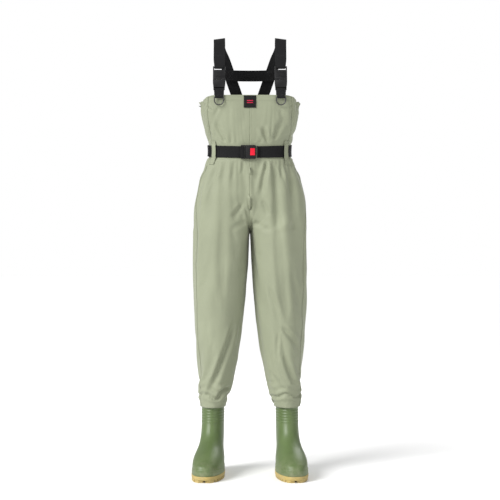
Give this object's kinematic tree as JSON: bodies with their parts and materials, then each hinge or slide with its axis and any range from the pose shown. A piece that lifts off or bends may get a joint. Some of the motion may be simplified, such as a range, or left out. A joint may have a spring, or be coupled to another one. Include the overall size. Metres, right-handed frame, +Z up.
{
  "type": "chest waders",
  "caption": "Welded fabric chest waders with moulded boots, elastic shoulder straps on quick-release buckles, a waist belt and rings on the bib.",
  "frame": {"origin": "on the ground under the middle of the object's box", "axes": "+Z up, the wearer faces -Y, +X is the wearer's left"},
  "size_m": [0.38, 0.3469, 1.4441],
  "materials": {
    "sage_fabric": "matte",
    "seam_tape": "matte",
    "webbing": "matte",
    "black_plastic": "satin",
    "red_plastic": "satin",
    "red_print": "matte",
    "label_black": "matte",
    "spring_steel": "satin",
    "black_steel": "satin",
    "boot_green": "satin",
    "gum": "matte",
    "insole": "matte"
  },
  "bodies": {
    "garment": {"front_panel_left": "sage_fabric", "front_panel_right": "sage_fabric", "back_panel_left": "sage_fabric", "back_panel_right": "sage_fabric", "centre_seam_tape": "seam_tape", "side_seam_tape_left": "seam_tape", "side_seam_tape_right": "seam_tape", "inseam_tape_left": "seam_tape", "inseam_tape_right": "seam_tape", "side_elastic_left": "webbing", "side_elastic_right": "webbing", "front_hem_facing": "sage_fabric", "label_patch": "label_black", "label_mark": "red_print", "back_anchor_patch": "sage_fabric", "cross_strap": "webbing", "strap_back_left": "webbing", "strap_back_right": "webbing", "strap_front_left": "webbing", "strap_front_right": "webbing", "buckle_female_left": "black_plastic", "buckle_female_right": "black_plastic", "anchor_webbing_left": "webbing", "anchor_webbing_right": "webbing", "ring_keeper_left": "webbing", "ring_keeper_right": "webbing", "belt_webbing": "webbing", "belt_left_run": "webbing", "belt_socket_front": "black_plastic", "belt_socket_back": "black_plastic", "belt_button_spring": "spring_steel", "belt_tail": "webbing", "belt_loop_front_left": "sage_fabric", "belt_loop_front_right": "sage_fabric", "belt_loop_back_left": "sage_fabric", "belt_loop_back_right": "sage_fabric", "weld_band_left": "seam_tape", "weld_band_right": "seam_tape", "boot_upper_left": "boot_green", "boot_upper_right": "boot_green", "boot_outsole_left": "gum", "boot_outsole_right": "gum", "boot_insole_left": "insole", "boot_insole_right": "insole"},
    "prong_left": {"buckle_male_left": "black_plastic"},
    "prong_right": {"buckle_male_right": "black_plastic"},
    "latch_outer_left": {"latch_outer_left": "black_plastic"},
    "latch_inner_left": {"latch_inner_left": "black_plastic"},
    "latch_outer_right": {"latch_outer_right": "black_plastic"},
    "latch_inner_right": {"latch_inner_right": "black_plastic"},
    "d_ring_left": {"d_ring_left": "black_steel"},
    "d_ring_right": {"d_ring_right": "black_steel"},
    "belt_tongue": {"belt_tongue": "black_plastic", "belt_tongue_webbing": "webbing"},
    "belt_button": {"belt_button": "red_plastic"}
  },
  "joints": [
    {"name": "left_buckle_release", "type": "slide", "parent": "garment", "child": "prong_left", "axis": [0, 0.342, 0.9397], "range_m": [0, 0.03], "deforming": ["strap_front_left"]},
    {"name": "left_outer_latch", "type": "hinge", "parent": "prong_left", "child": "latch_outer_left", "pos_m": [0.1085, -0.03426, 1.29723], "axis": [0, 0.9397, -0.342], "range_deg": [0, 7], "stiffness_Nm_per_rad": 0.4},
    {"name": "left_inner_latch", "type": "hinge", "parent": "prong_left", "child": "latch_inner_left", "pos_m": [0.0935, -0.03426, 1.29723], "axis": [0, -0.9397, 0.342], "range_deg": [0, 7], "stiffness_Nm_per_rad": 0.4},
    {"name": "left_ring_swing", "type": "hinge", "parent": "garment", "child": "d_ring_left", "pos_m": [0.101, -0.0626, 1.235], "axis": [-1, 0, 0], "range_deg": [0, 120]},
    {"name": "right_buckle_release", "type": "slide", "parent": "garment", "child": "prong_right", "axis": [0, 0.342, 0.9397], "range_m": [0, 0.03], "deforming": ["strap_front_right"]},
    {"name": "right_outer_latch", "type": "hinge", "parent": "prong_right", "child": "latch_outer_right", "pos_m": [-0.1085, -0.03426, 1.29723], "axis": [0, -0.9397, 0.342], "range_deg": [0, 7], "stiffness_Nm_per_rad": 0.4},
    {"name": "right_inner_latch", "type": "hinge", "parent": "prong_right", "child": "latch_inner_right", "pos_m": [-0.0935, -0.03426, 1.29723], "axis": [0, 0.9397, -0.342], "range_deg": [0, 7], "stiffness_Nm_per_rad": 0.4},
    {"name": "right_ring_swing", "type": "hinge", "parent": "garment", "child": "d_ring_right", "pos_m": [-0.101, -0.0626, 1.235], "axis": [-1, 0, 0], "range_deg": [0, 120]},
    {"name": "belt_tongue_release", "type": "slide", "parent": "garment", "child": "belt_tongue", "axis": [-1, 0, 0], "range_m": [0, 0.026], "deforming": ["belt_left_run"]},
    {"name": "belt_button_press", "type": "slide", "parent": "garment", "child": "belt_button", "axis": [0, 1, 0], "range_m": [0, 0.0025], "stiffness_N_per_m": 800, "deforming": ["belt_button_spring"]}
  ]
}
